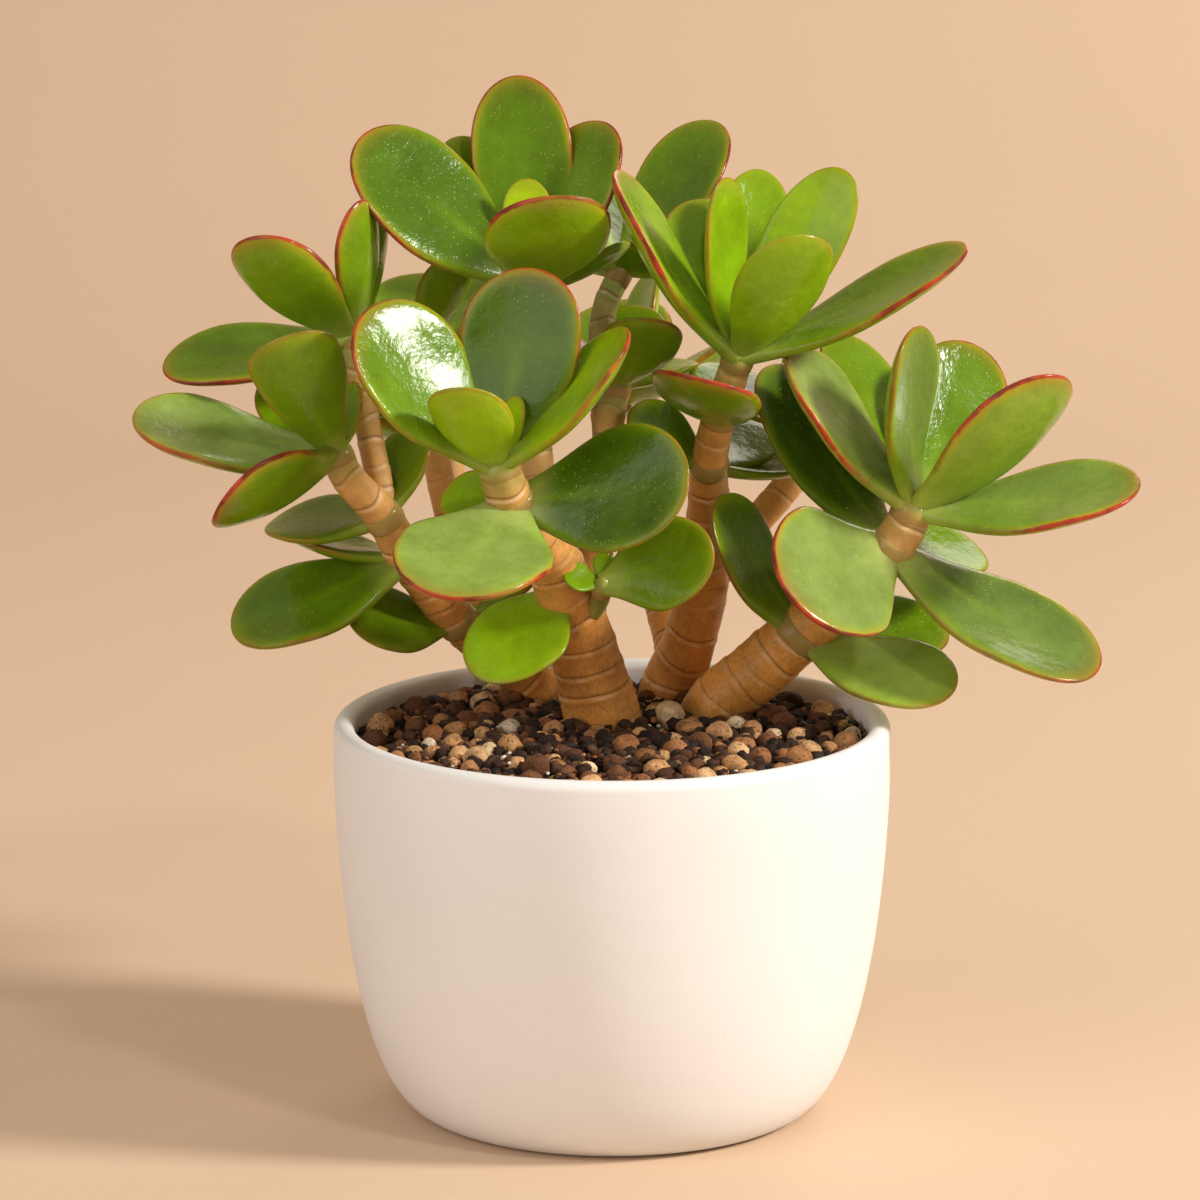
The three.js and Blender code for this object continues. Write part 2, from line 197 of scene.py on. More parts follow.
def stem_at(name, place):
    points = np.array(STEMS[name], float)
    last = len(points) - 1
    i = min(int(place), last - 1)
    w = place - i
    here, there = points[i], points[i + 1]
    before = points[i - 1] if i > 0 else 2 * here - there
    after = points[i + 2] if i + 2 <= last else 2 * there - here
    v0, v1 = (there - before) / 2, (after - here) / 2
    cubic = 2 * here - 2 * there + v0 + v1
    square = 3 * there - 3 * here - 2 * v0 - v1
    spot = cubic * w ** 3 + square * w ** 2 + v0 * w + here
    radius = here[3] + (there[3] - here[3]) * min(w, 1)
    return spot[:3], radius


def stem_direction(name, place):
    last = len(STEMS[name]) - 1
    ahead, _ = stem_at(name, min(place + NEARBY, last))
    behind, _ = stem_at(name, max(place - NEARBY, 0))
    return unit(ahead - behind)


def turn_about(v, axis, degrees):
    a = math.radians(degrees)
    return v * math.cos(a) + np.cross(axis, v) * math.sin(a)


print("tip of the front stem:", stem_at("front", 6)[0])

# %% [markdown]
# ## A mesh from rings
# Leaves, stems, collars and the pot are all skins over a row of rings. One helper joins such rings
# into a mesh, and a second one turns lists of points and faces into a Blender object. Two colour
# attributes travel with the points: what a point is on its leaf or stem, and what kind of leaf or
# stem it's on. The materials read these instead of a picture.

# %% Helpers that make meshes
def skin(rings):
    count, sides, _ = rings.shape
    a = np.arange(count - 1)[:, None] * sides + np.arange(sides)[None, :]
    b = np.arange(count - 1)[:, None] * sides + (np.arange(sides)[None, :] + 1) % sides
    faces = np.stack([a, b, b + sides, a + sides], axis=-1).reshape(-1, 4).tolist()
    faces.append(list(range(sides))[::-1])
    faces.append([(count - 1) * sides + k for k in range(sides)])
    return rings.reshape(-1, 3), faces


class Batch:
    """Points, faces and colours of many small forms that become one piece."""

    def __init__(self):
        self.points, self.faces, self.place, self.kind = [], [], [], []
        self.count = 0

    def add(self, points, faces, place, kind):
        self.points.append(points)
        self.faces += [[i + self.count for i in face] for face in faces]
        self.place.append(np.asarray(place, float))
        self.kind.append(np.broadcast_to(np.asarray(kind, float), (len(points), 4)))
        self.count += len(points)

    def piece(self, name, material, nodes, slot):
        mesh = bpy.data.meshes.new(name)
        points = np.concatenate(self.points) * MM
        mesh.from_pydata(points.tolist(), [], self.faces)
        mesh.polygons.foreach_set("use_smooth", [True] * len(mesh.polygons))
        for title, values in (("place", self.place), ("kind", self.kind)):
            layer = mesh.attributes.new(title, "FLOAT_COLOR", "POINT")
            layer.data.foreach_set("color", np.concatenate(values).ravel())
        mesh.materials.append(material)
        mesh.validate()
        obj = bpy.data.objects.new(name, mesh)
        bpy.context.scene.collection.objects.link(obj)
        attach(obj, "root")
        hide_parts(*nodes)
        return obj


print("mesh helpers ready")

# %% [markdown]
# ## Node groups that several finishes share
# Living skin, bark, clay and glaze all vary a little in tone, and all have small raised or sunken
# specks. Each effect is a node group with its own sockets, made once and given other values in
# each material. Pictures could do this, but noise in real coordinates has no seams and needs no
# unwrapping.

# %% Helpers that wire nodes
def new_group(name, inputs, outputs):
    group = bpy.data.node_groups.new(name, "ShaderNodeTree")
    for title, kind, value in inputs:
        socket = group.interface.new_socket(title, in_out="INPUT", socket_type=kind)
        if value is not None:
            socket.default_value = value
    for title, kind in outputs:
        group.interface.new_socket(title, in_out="OUTPUT", socket_type=kind)
    return group, group.nodes.new("NodeGroupInput"), group.nodes.new("NodeGroupOutput")


class Wires:
    """Short ways to add nodes to a tree and join them."""

    def __init__(self, tree):
        self.tree = tree

    def put(self, node, socket, value):
        if isinstance(value, bpy.types.NodeSocket):
            self.tree.links.new(value, node.inputs[socket])
        elif value is not None:
            node.inputs[socket].default_value = value

    def node(self, kind, **inputs):
        node = self.tree.nodes.new(kind)
        for socket, value in inputs.items():
            self.put(node, socket.replace("_", " "), value)
        return node

    def math(self, operation, a, b=None, clamp=False):
        node = self.tree.nodes.new("ShaderNodeMath")
        node.operation, node.use_clamp = operation, clamp
        self.put(node, 0, a)
        self.put(node, 1, b)
        return node.outputs[0]

    def fade(self, value, low, high, to_low=0.0, to_high=1.0):
        node = self.tree.nodes.new("ShaderNodeMapRange")
        node.interpolation_type = "SMOOTHSTEP"
        for socket, given in enumerate((value, low, high, to_low, to_high)):
            self.put(node, socket, given)
        return node.outputs[0]

    def mix(self, factor, a, b, blend="MIX"):
        node = self.tree.nodes.new("ShaderNodeMix")
        node.data_type, node.blend_type = "RGBA", blend
        node.clamp_factor = True
        self.put(node, 0, factor)
        self.put(node, 6, a)
        self.put(node, 7, b)
        return node.outputs[2]

    def noise(self, where, scale, detail=3.0, rough=0.5):
        node = self.node("ShaderNodeTexNoise", Vector=where, Scale=scale, Detail=detail,
                         Roughness=rough)
        return node.outputs["Fac"]

    def parts(self, attribute):
        found = self.tree.nodes.new("ShaderNodeAttribute")
        found.attribute_name = attribute
        split = self.node("ShaderNodeSeparateColor", Color=found.outputs["Color"])
        return split.outputs[0], split.outputs[1], split.outputs[2], found.outputs["Alpha"]

    def group(self, group, **inputs):
        node = self.tree.nodes.new("ShaderNodeGroup")
        node.node_tree = group
        for socket, value in inputs.items():
            self.put(node, socket.replace("_", " "), value)
        return node


print("wiring helpers ready")

# %% The group that varies a colour softly, coarse and fine at once
MOTTLE, said, gives = new_group(
    "soft_mottle",
    [("Color", "NodeSocketColor", (0.5, 0.5, 0.5, 1)), ("Position", "NodeSocketVector", None),
     ("Coarse", "NodeSocketFloat", 60.0), ("Fine", "NodeSocketFloat", 500.0),
     ("Amount", "NodeSocketFloat", 0.2)],
    [("Color", "NodeSocketColor"), ("Tone", "NodeSocketFloat"), ("Grain", "NodeSocketFloat")])
w = Wires(MOTTLE)
coarse = w.noise(said.outputs["Position"], said.outputs["Coarse"], 2.0)
fine = w.noise(said.outputs["Position"], said.outputs["Fine"], 4.0, 0.6)
COARSE_SHARE, SWING = 0.65, 4.0
both = w.math("ADD", w.math("MULTIPLY", coarse, COARSE_SHARE),
              w.math("MULTIPLY", fine, 1 - COARSE_SHARE))
reach = w.math("MULTIPLY", said.outputs["Amount"], SWING)
level = w.math("ADD", w.math("MULTIPLY", w.math("SUBTRACT", both, 0.5), reach), 1.0)
grey = w.node("ShaderNodeCombineColor", Red=level, Green=level, Blue=level).outputs[0]
MOTTLE.links.new(w.mix(1.0, said.outputs["Color"], grey, "MULTIPLY"), gives.inputs["Color"])
MOTTLE.links.new(both, gives.inputs["Tone"])
MOTTLE.links.new(fine, gives.inputs["Grain"])
print("group:", MOTTLE.name)

# %% The group that scatters small round specks
SPECKS, said, gives = new_group(
    "small_specks",
    [("Position", "NodeSocketVector", None), ("Spacing", "NodeSocketFloat", 500.0),
     ("Size", "NodeSocketFloat", 0.2), ("Share", "NodeSocketFloat", 0.5)],
    [("Mask", "NodeSocketFloat")])
w = Wires(SPECKS)
cells = w.node("ShaderNodeTexVoronoi", Vector=said.outputs["Position"],
               Scale=said.outputs["Spacing"])
near = w.fade(cells.outputs["Distance"], said.outputs["Size"],
              w.math("MULTIPLY", said.outputs["Size"], 0.5), 0.0, 1.0)
lot = w.node("ShaderNodeSeparateColor", Color=cells.outputs["Color"]).outputs[0]
chosen = w.math("LESS_THAN", lot, said.outputs["Share"])
SPECKS.links.new(w.math("MULTIPLY", near, chosen), gives.inputs["Mask"])
print("group:", SPECKS.name)

# %% [markdown]
# ## A material to fill in
# Each finish starts from the same bare material: one Principled shader. Values that are the same
# all over, such as the clear coat of a waxy leaf, are set on the shader itself, and only what
# changes over the surface is wired to it.

# %% A bare material with its constants
def new_finish(name, **constants):
    material = bpy.data.materials.new(name)
    material.use_nodes = True
    shader = material.node_tree.nodes["Principled BSDF"]
    for socket, value in constants.items():
        shader.inputs[socket.replace("_", " ")].default_value = value
    wires = Wires(material.node_tree)
    where = wires.node("ShaderNodeTexCoord").outputs["Object"]
    return material, shader, wires, where


def finish_off(wires, shader, color, roughness, height, strength, depth):
    wires.put(shader, "Base Color", color)
    wires.put(shader, "Roughness", roughness)
    bump = wires.node("ShaderNodeBump", Strength=strength, Distance=depth, Height=height)
    wires.put(shader, "Normal", bump.outputs["Normal"])


print("finish helpers ready")

# %% [markdown]
# ## Leaf skin
# The skin of a jade leaf is waxy and smooth. Its green runs from deep to yellow, paler at the root
# and on the underside, with tiny pale pores over the upper face, and a paler green at the thin rim
# paints the glow of light through it. Sun paints the very margin red, most of all round the tip,
# with a thin yellow-orange band inside it. The points carry how far along the leaf they are, how
# far from its rim in centimetres and which face they're on, so that the margin follows every
# outline exactly. A stencil by noise alone couldn't do that.

# %% The leaf material: its greens, from old and shaded to young and backlit, and from above to below
DEEP_AND_SHADED_GREEN = (0.060, 0.126, 0.004, 1)
MID_GREEN = (0.130, 0.238, 0.005, 1)
FRESH_GREEN = (0.235, 0.398, 0.006, 1)
BACKLIT_GREEN = (0.480, 0.670, 0.008, 1)
UNDERSIDE = (0.195, 0.345, 0.008, 1)
UNDERSIDE_SHARE = 0.5
YOUTH_AND_LIGHT_STEPS = [(0.0, 0.4, MID_GREEN), (0.35, 0.75, FRESH_GREEN), (0.7, 1.0, BACKLIT_GREEN)]
leaf_skin, shader, w, where = new_finish(
    "waxy_leaf_skin", Coat_Weight=0.12, Coat_Roughness=0.10, Subsurface_Weight=0.15,
    Subsurface_Radius=(0.5, 1.0, 0.1), Subsurface_Scale=0.003, Specular_IOR_Level=0.19)
along, rim, face, across = w.parts("place")
youth_and_painted_light, blush, painted_sheen, living = w.parts("kind")
green = DEEP_AND_SHADED_GREEN
# Deep green also paints shade on shaded leaves; backlit green paints sun glowing through a leaf.
for start, end, lighter_green in YOUTH_AND_LIGHT_STEPS:
    green = w.mix(w.fade(youth_and_painted_light, start, end), green, lighter_green)
below = w.fade(face, 0.6, 0.35)
green = w.mix(w.math("MULTIPLY", below, UNDERSIDE_SHARE), green, UNDERSIDE)
print("material:", leaf_skin.name)

# %% Paler at the root and along the midrib, with painted sheen and a painted glow at the thin rim
PALE_ROOT = (0.420, 0.480, 0.110, 1)
PAINTED_SHEEN = (0.620, 0.680, 0.310, 1)
ROOT_PALE, MIDRIB_PALE, RIM_GLOW_SHARE = 0.75, 0.28, 0.34
MIDRIB_WIDTH, RIM_GLOW_CM = 0.10, 0.38
root = w.fade(along, 0.30, 0.02)
green = w.mix(w.math("MULTIPLY", root, ROOT_PALE), green, PALE_ROOT)
stripe = w.math("ABSOLUTE", w.math("SUBTRACT", across, 0.5))
midrib = w.math("MULTIPLY", w.fade(stripe, MIDRIB_WIDTH, 0.0), w.fade(along, 0.8, 0.2))
green = w.mix(w.math("MULTIPLY", midrib, MIDRIB_PALE), green, FRESH_GREEN)
# Painted sheen: soft pale patches that stand for reflected light, as much as the third digit says.
sheen_patches = w.fade(w.noise(where, 130.0, 3.0, 0.6), 0.30, 0.62, 0.75, 1.0)
green = w.mix(w.math("MULTIPLY", painted_sheen, sheen_patches), green, PAINTED_SHEEN)
# Painted glow: the thin rim is paler green, as light shining through it.
rim_glow = w.math("MULTIPLY", w.fade(rim, RIM_GLOW_CM, 0.0), RIM_GLOW_SHARE)
green = w.mix(rim_glow, green, FRESH_GREEN)
print("leaf nodes so far:", len(leaf_skin.node_tree.nodes))

# %% Mottling and pores
PALE_PORE = (0.560, 0.640, 0.130, 1)
PORE_PALE = 0.6
PORE_FREE_CM = 0.08
mottled = w.group(MOTTLE, Color=green, Position=where, Coarse=80.0, Fine=420.0, Amount=0.28)
green = mottled.outputs["Color"]
pores = w.group(SPECKS, Position=where, Spacing=1150.0, Size=0.21, Share=0.42).outputs["Mask"]
patchy = w.fade(w.noise(where, 110.0, 2.0), 0.40, 0.58, 0.35, 1.0)
inside = w.fade(rim, PORE_FREE_CM, 0.2)
pores = w.math("MULTIPLY", w.math("MULTIPLY", pores, inside), patchy)
green = w.mix(w.math("MULTIPLY", pores, PORE_PALE), green, PALE_PORE)
print("leaf nodes so far:", len(leaf_skin.node_tree.nodes))

# %% The margin that the sun has burnt
AMBER_BAND = (0.560, 0.330, 0.020, 1)
RED_MARGIN = (0.430, 0.055, 0.020, 1)
DARK_MARGIN = (0.200, 0.030, 0.015, 1)
TIP_TAN = (0.260, 0.110, 0.020, 1)
COLLAR_TAN = (0.420, 0.230, 0.085, 1)
AMBER_SHARE, TIP_SHARE, COLLAR_SHARE, RED_GAIN = 0.6, 0.5, 0.9, 1.7
AMBER_CM, TIP_CM, RED_CM = (0.22, 0.02), (0.6, 0.05), (0.062, 0.022)
waver = w.math("MULTIPLY", w.math("SUBTRACT", w.noise(where, 260.0), 0.5), 0.06)
edge = w.math("ADD", rim, waver)
toward_tip = w.fade(along, 0.10, 0.75, 0.10, 1.0)
uneven = w.fade(w.noise(where, 45.0, 2.0), 0.35, 0.62, 0.30, 1.1)
burn = w.math("MULTIPLY", w.math("MULTIPLY", blush, toward_tip), uneven)
glow = w.math("MULTIPLY", w.fade(edge, *AMBER_CM), burn)
green = w.mix(w.math("MULTIPLY", glow, AMBER_SHARE), green, AMBER_BAND)
at_tip = w.math("MULTIPLY", w.fade(edge, *TIP_CM), w.fade(along, 0.75, 1.0))
tip_tan = w.math("MULTIPLY", w.math("MULTIPLY", at_tip, blush), TIP_SHARE)
green = w.mix(tip_tan, green, TIP_TAN)
line = w.math("MULTIPLY", w.fade(edge, *RED_CM), w.math("MULTIPLY", burn, RED_GAIN, True), True)
red = w.mix(w.fade(w.noise(where, 150.0, 3.0), 0.40, 0.60), RED_MARGIN, DARK_MARGIN)
color = w.mix(line, green, red)
woody = w.math("MULTIPLY", w.fade(living, 1.0, 0.0), COLLAR_SHARE)
color = w.mix(woody, color, COLLAR_TAN)
print("leaf nodes so far:", len(leaf_skin.node_tree.nodes))

# %% Waxy gloss over fine wrinkles and sunken pores
GRAIN_HEIGHT, WRINKLE_HEIGHT, PORE_DEPTH = 0.4, 1.9, 0.3
rough = w.math("ADD", w.math("MULTIPLY", mottled.outputs["Tone"], 0.20), 0.07)
grain = w.math("MULTIPLY", mottled.outputs["Grain"], GRAIN_HEIGHT)
wrinkle = w.math("MULTIPLY", w.noise(where, 300.0, 4.0, 0.6), WRINKLE_HEIGHT)
height = w.math("SUBTRACT", w.math("ADD", grain, wrinkle), w.math("MULTIPLY", pores, PORE_DEPTH))
finish_off(w, shader, color, rough, height, 0.65, 0.00022)
print("leaf nodes in all:", len(leaf_skin.node_tree.nodes))

# %% [markdown]
# ## Bark
# Young shoots are olive green, then tan, and old trunks a warm brown with a papery skin; the right
# trunk's brown is made lighter to paint the sunlight on it. Each pair of fallen leaves leaves a
# pale ring right round the stem, with a crease beside it that is painted darker as shade. Rings
# and creases are shaped in the mesh from the same scar places whose masks colour them here. Long
# thin cracks run up the trunk, so their noise is stretched along the stem's own length, which the
# points also carry.

# %% The bark material: from green shoot to brown wood
GREEN_SHOOT = (0.310, 0.320, 0.070, 1)
TAN_SHOOT = (0.620, 0.340, 0.100, 1)
BROWN_BARK = (0.600, 0.235, 0.046, 1)
WARM_AND_SUNLIT_BARK = (0.900, 0.420, 0.085, 1)
bark_skin, shader, w, where = new_finish("ringed_brown_bark", Specular_IOR_Level=0.5)
age, scar, length_up, round_turn = w.parts("place")
soil_shade, warm_and_sunlit, crease_shade_mask, _ = w.parts("kind")
# The warm brown is partly the bark's tone and partly painted sunlight, lightest on the right
# trunk.
brown = w.mix(warm_and_sunlit, BROWN_BARK, WARM_AND_SUNLIT_BARK)
wood = w.mix(w.fade(age, 0.10, 0.45), GREEN_SHOOT, TAN_SHOOT)
wood = w.mix(w.fade(age, 0.40, 0.85), wood, brown)
mottled = w.group(MOTTLE, Color=wood, Position=where, Coarse=75.0, Fine=420.0, Amount=0.46)
wood = mottled.outputs["Color"]
print("material:", bark_skin.name)

# %% Long cracks, then creases painted with shade, pale rings and painted shade just above the mix
DARK_CRACK = (0.240, 0.085, 0.022, 1)
CREASE_SHADE = (0.200, 0.070, 0.020, 1)
PALE_SCAR = (0.800, 0.550, 0.320, 1)
SOIL_LINE_SHADE = (0.060, 0.030, 0.018, 1)
CRACK_SHARE, FLAKE_SHARE, CREASE_SHADE_SHARE, SOIL_SHADE_SHARE = 0.34, 0.28, 0.72, 0.6
CRACKS_ROUND, CRACKS_UP = 15.0, 3.0
drawn_out = w.node("ShaderNodeCombineXYZ", X=w.math("MULTIPLY", round_turn, CRACKS_ROUND),
                   Y=w.math("MULTIPLY", length_up, CRACKS_UP), Z=age)
streaks = w.noise(drawn_out.outputs[0], 3.0, 5.0, 0.65)
old = w.fade(age, 0.3, 0.8)
crack = w.math("MULTIPLY", w.fade(streaks, 0.50, 0.36), old)
wood = w.mix(w.math("MULTIPLY", crack, CRACK_SHARE), wood, DARK_CRACK)
flake = w.math("MULTIPLY", w.fade(streaks, 0.54, 0.68), old)
wood = w.mix(w.math("MULTIPLY", flake, FLAKE_SHARE), wood, PALE_SCAR)
# Painted shade: the crease beside each scar ring is darkened.
crease_shade = w.math("MULTIPLY", w.fade(crease_shade_mask, 0.2, 0.9), CREASE_SHADE_SHARE)
wood = w.mix(crease_shade, wood, CREASE_SHADE)
broken = w.fade(w.noise(where, 260.0, 3.0), 0.42, 0.58)
wood = w.mix(w.math("MULTIPLY", scar, broken), wood, PALE_SCAR)
# Painted shade: the wood is darkened just above the mix.
wood = w.mix(w.math("MULTIPLY", soil_shade, SOIL_SHADE_SHARE), wood, SOIL_LINE_SHADE)
rough = w.math("ADD", w.math("MULTIPLY", mottled.outputs["Tone"], 0.35), 0.24)
height = w.math("ADD", w.math("MULTIPLY", mottled.outputs["Grain"], 0.25),
                w.math("MULTIPLY", streaks, 0.5))
finish_off(w, shader, wood, rough, height, 0.4, 0.0005)
print("bark nodes:", len(bark_skin.node_tree.nodes))

# %% [markdown]
# ## Glaze, clay and grit
# The pot has a matt white glaze with a hint of warmth and a skin as fine as eggshell. The mix is
# mostly fired clay pellets, from cream to rust, each full of dark pores, with black crumbs of
# humus and a few white grains of perlite between them. A pellet's colour is one number on its
# points, read through a colour ramp, so hundreds of pellets share one material and still all
# differ.

# %% The pot's glaze
GLAZE_WHITE = (0.815, 0.808, 0.808, 1)
DUST_GREY = (0.520, 0.460, 0.400, 1)
DUST_SHARE = 0.35
pot_glaze, shader, w, where = new_finish("matt_white_glaze", Specular_IOR_Level=0.4)
mottled = w.group(MOTTLE, Color=GLAZE_WHITE, Position=where,
                  Coarse=22.0, Fine=1400.0, Amount=0.045)
dust = w.group(SPECKS, Position=where, Spacing=260.0, Size=0.07, Share=0.22).outputs["Mask"]
color = w.mix(w.math("MULTIPLY", dust, DUST_SHARE), mottled.outputs["Color"], DUST_GREY)
rough = w.math("ADD", w.math("MULTIPLY", mottled.outputs["Tone"], 0.2), 0.42)
finish_off(w, shader, color, rough, mottled.outputs["Grain"], 0.10, 0.00015)
print("material:", pot_glaze.name)

# %% The grit's material
CLAY_RAMP = [(0.0, (0.010, 0.006, 0.005)), (0.14, (0.048, 0.022, 0.012)),
             (0.26, (0.130, 0.052, 0.022)), (0.45, (0.310, 0.125, 0.045)),
             (0.62, (0.480, 0.245, 0.100)), (0.78, (0.680, 0.410, 0.205)),
             (0.90, (0.740, 0.540, 0.320)), (1.0, (0.800, 0.760, 0.680))]
PIT_DARK = (0.050, 0.025, 0.012, 1)
PIT_SHARE, PIT_DEPTH = 0.85, 1.2
grit, shader, w, where = new_finish("fired_clay_and_grit", Specular_IOR_Level=0.3)
hue, glint, pore_share, _ = w.parts("kind")
ramp = w.node("ShaderNodeValToRGB", Fac=hue)
stops = ramp.color_ramp.elements
for spot, _ in CLAY_RAMP[len(stops):]:
    stops.new(spot)
for stop, (spot, rgb) in zip(stops, CLAY_RAMP):
    stop.position, stop.color = spot, (*rgb, 1)
mottled = w.group(MOTTLE, Color=ramp.outputs["Color"], Position=where,
                  Coarse=420.0, Fine=1500.0, Amount=0.6)
pits = w.group(SPECKS, Position=where, Spacing=1250.0, Size=0.40, Share=0.55).outputs["Mask"]
pits = w.math("MULTIPLY", pits, pore_share)
color = w.mix(w.math("MULTIPLY", pits, PIT_SHARE), mottled.outputs["Color"], PIT_DARK)
rough = w.math("SUBTRACT", 0.95, w.math("MULTIPLY", glint, 0.45))
height = w.math("SUBTRACT", mottled.outputs["Grain"], w.math("MULTIPLY", pits, PIT_DEPTH))
finish_off(w, shader, color, rough, height, 0.6, 0.0005)
print("material:", grit.name)

# %% [markdown]
# ## The shape of one leaf
# A jade leaf is a flat spoon: a narrow neck, its widest point past the middle, and a round end.
# The upper face is nearly flat and the underside full, and the margin is about a millimetre thick
# and rounded. It could be a subdivided box, but a skin of rings along the leaf lets each ring take
# its width, its thickness and its dish from short formulas in the leaf's real sizes.

# %% Formulas for a leaf's outline
ROOT_SHARE = 0.28
ROOT_FLARE = 1.5
TIP_FULLNESS = 2.3
BOW = 0.05
CUP = 0.10
THICK_SHARE, THICK_LEAST = 0.15, 0.6
LEAF_STATIONS, LEAF_SIDES, OUTLINE_STEPS = 34, 28, 90


def width_share(t, belly):
    rise = np.sin(np.clip(t / belly, 0, 1) * math.pi / 2) ** ROOT_FLARE
    rising = ROOT_SHARE + (1 - ROOT_SHARE) * rise
    falling = (1 - np.clip((t - belly) / (1 - belly), 0, 1) ** TIP_FULLNESS) ** 0.5
    return np.where(t < belly, rising, falling)


def rim_distance(x, s, length, half, belly):
    outline_t = np.sin(np.linspace(0, math.pi / 2, OUTLINE_STEPS))
    outline_x = half * width_share(outline_t, belly)
    gap = np.hypot(np.abs(x)[..., None] - outline_x, s[..., None] - outline_t * length)
    return gap.min(axis=-1)


print("width at the middle of a leaf:", round(float(width_share(np.array(0.5), BELLY)), 2))

# %% Formulas for a leaf's thickness, groove and dish
UPPER_SHARE, LOWER_SHARE, MARGIN_ROUNDING = 0.42, 0.58, 0.85
GROOVE_DEPTH, GROOVE_WIDTH, GROOVE_REACH = 0.35, 0.16, 0.55
RIPPLE, SKEW, CUP_REACH = 0.012, 0.02, 0.7


def face_height(t, across, turn, thick):
    upper = np.sin(turn) > 0
    full = np.where(upper, UPPER_SHARE, LOWER_SHARE) * thick * np.sqrt(np.clip(1 - t ** 5, 0, 1))
    y = full * np.sign(np.sin(turn)) * np.abs(np.sin(turn)) ** MARGIN_ROUNDING
    reach = np.clip(1 - t / GROOVE_REACH, 0, 1)
    groove = np.exp(-(across / GROOVE_WIDTH) ** 2) * reach * GROOVE_DEPTH
    return y - np.where(upper, groove, 0)


def dish(t, x, half, length, width):
    cup = CUP * width * (x / half) ** 2 * np.minimum(1, t / CUP_REACH)
    return cup, -4 * BOW * length * t * (1 - t)


print("upper and lower share of the thickness:", UPPER_SHARE, LOWER_SHARE)

# %% One leaf as rings with its colour values
def add_leaf(batch, stem, place, row, looks, seed):
    heading, rise, length, width, *rest = row
    roll = rest[0] if rest else 0
    belly = rest[1] if len(rest) > 1 else BELLY
    base, _ = stem_at(stem, place)
    axis = stem_direction(stem, place)
    h, e = math.radians(heading), math.radians(rise)
    along = np.array([math.cos(e) * math.cos(h), math.cos(e) * math.sin(h), math.sin(e)])
    upper = turn_about(unit(axis - axis.dot(along) * along), along, roll)
    side = np.cross(along, upper)
    draw = random.Random(seed)
    lean, wave, phase = draw.uniform(-1, 1), draw.uniform(0.4, 1.0), draw.uniform(0, 6)
    k = np.arange(LEAF_STATIONS + 1) / LEAF_STATIONS
    t = ((1 - np.cos(math.pi * k)) / 2)[:, None]
    turn = (np.arange(LEAF_SIDES) / LEAF_SIDES * 2 * math.pi)[None, :]
    half = width / 2
    x = half * width_share(t, belly) * np.cos(turn)
    far = length * t * np.ones_like(x)
    across = np.cos(turn) * np.ones_like(t)
    y = face_height(t, across, turn, THICK_SHARE * width + THICK_LEAST)
    cup, bow = dish(t, x, half, length, width)
    ripple = RIPPLE * width * wave * np.sin(5 * t + phase + 2 * across) * np.sin(math.pi * t)
    skew = SKEW * width * lean * np.sin(math.pi * t)
    shape = np.stack([x + skew, y + cup + bow + ripple, far], axis=-1)
    rings = base + shape[..., :1] * side + shape[..., 1:2] * upper + shape[..., 2:] * along
    points, faces = skin(rings)
    rim_cm = rim_distance(x, far, length, half, belly) / 10
    upside = 0.5 + 0.5 * np.sin(turn) * np.ones_like(t)
    shown = np.stack([t * np.ones_like(x), rim_cm, upside, 0.5 + 0.5 * across], axis=-1)
    # The first digit sets youth together with painted light: backlit glow and shade.
    young, red, sheen_level = (int(digit) / 9 for digit in looks)
    batch.add(points, faces, shown.reshape(-1, 4), (young, red, sheen_level, 1))


print("points in one leaf:", (LEAF_STATIONS + 1) * LEAF_SIDES)

# %% [markdown]
# ## Leaf collars
# The two leaves of a pair meet in a short sleeve that clasps the stem, with a thin lip. Here the
# sleeve is a ring that stands a little proud of the bark and shares the colour of the leaf roots.
# It hides where the roots enter the wood, as the real one does.

# %% A sleeve round a stem
COLLAR_SIDES = 28
COLLAR_PROFILE = [(-2.2, -0.3), (-1.9, 0.2), (-1.2, 0.4), (0.0, 0.45), (1.2, 0.35), (1.9, 0.2),
                  (2.3, -0.3)]
CROWN_PROFILE = [(-4.0, -0.1), (-2.8, 0.15), (-1.4, 0.35), (0.0, 0.3), (1.2, -0.5), (2.0, -1.6)]
COLLAR_PLACE = (0.02, 0.6, 0.5, 0.8)
COLLAR_YOUTH, COLLAR_LIVING, CROWN_FADE, LEAST_REACH = 0.35, 0.25, 4, 0.4


def side_frame(direction):
    across = unit(np.cross(direction, (0.0, 1.0, 0.1)))
    return across, np.cross(across, direction)


def add_collar(batch, stem, place, at_tip):
    spot, radius = stem_at(stem, place)
    direction = stem_direction(stem, place)
    across, beyond = side_frame(direction)
    turn = np.arange(COLLAR_SIDES) / COLLAR_SIDES * 2 * math.pi
    rings, kinds = [], []
    for step, proud in CROWN_PROFILE if at_tip else COLLAR_PROFILE:
        reach = max(radius + proud, LEAST_REACH)
        ring = spot + direction * step + reach * (
            np.cos(turn)[:, None] * across + np.sin(turn)[:, None] * beyond)
        rings.append(ring)
        living = min(max(0.5 + step / CROWN_FADE, 0.0), 1.0) if at_tip else COLLAR_LIVING
        kinds += [(COLLAR_YOUTH, 0.0, 0.0, living)] * COLLAR_SIDES
    points, faces = skin(np.array(rings))
    batch.add(points, faces, [COLLAR_PLACE] * len(points), kinds)


print("collar rings:", len(COLLAR_PROFILE))

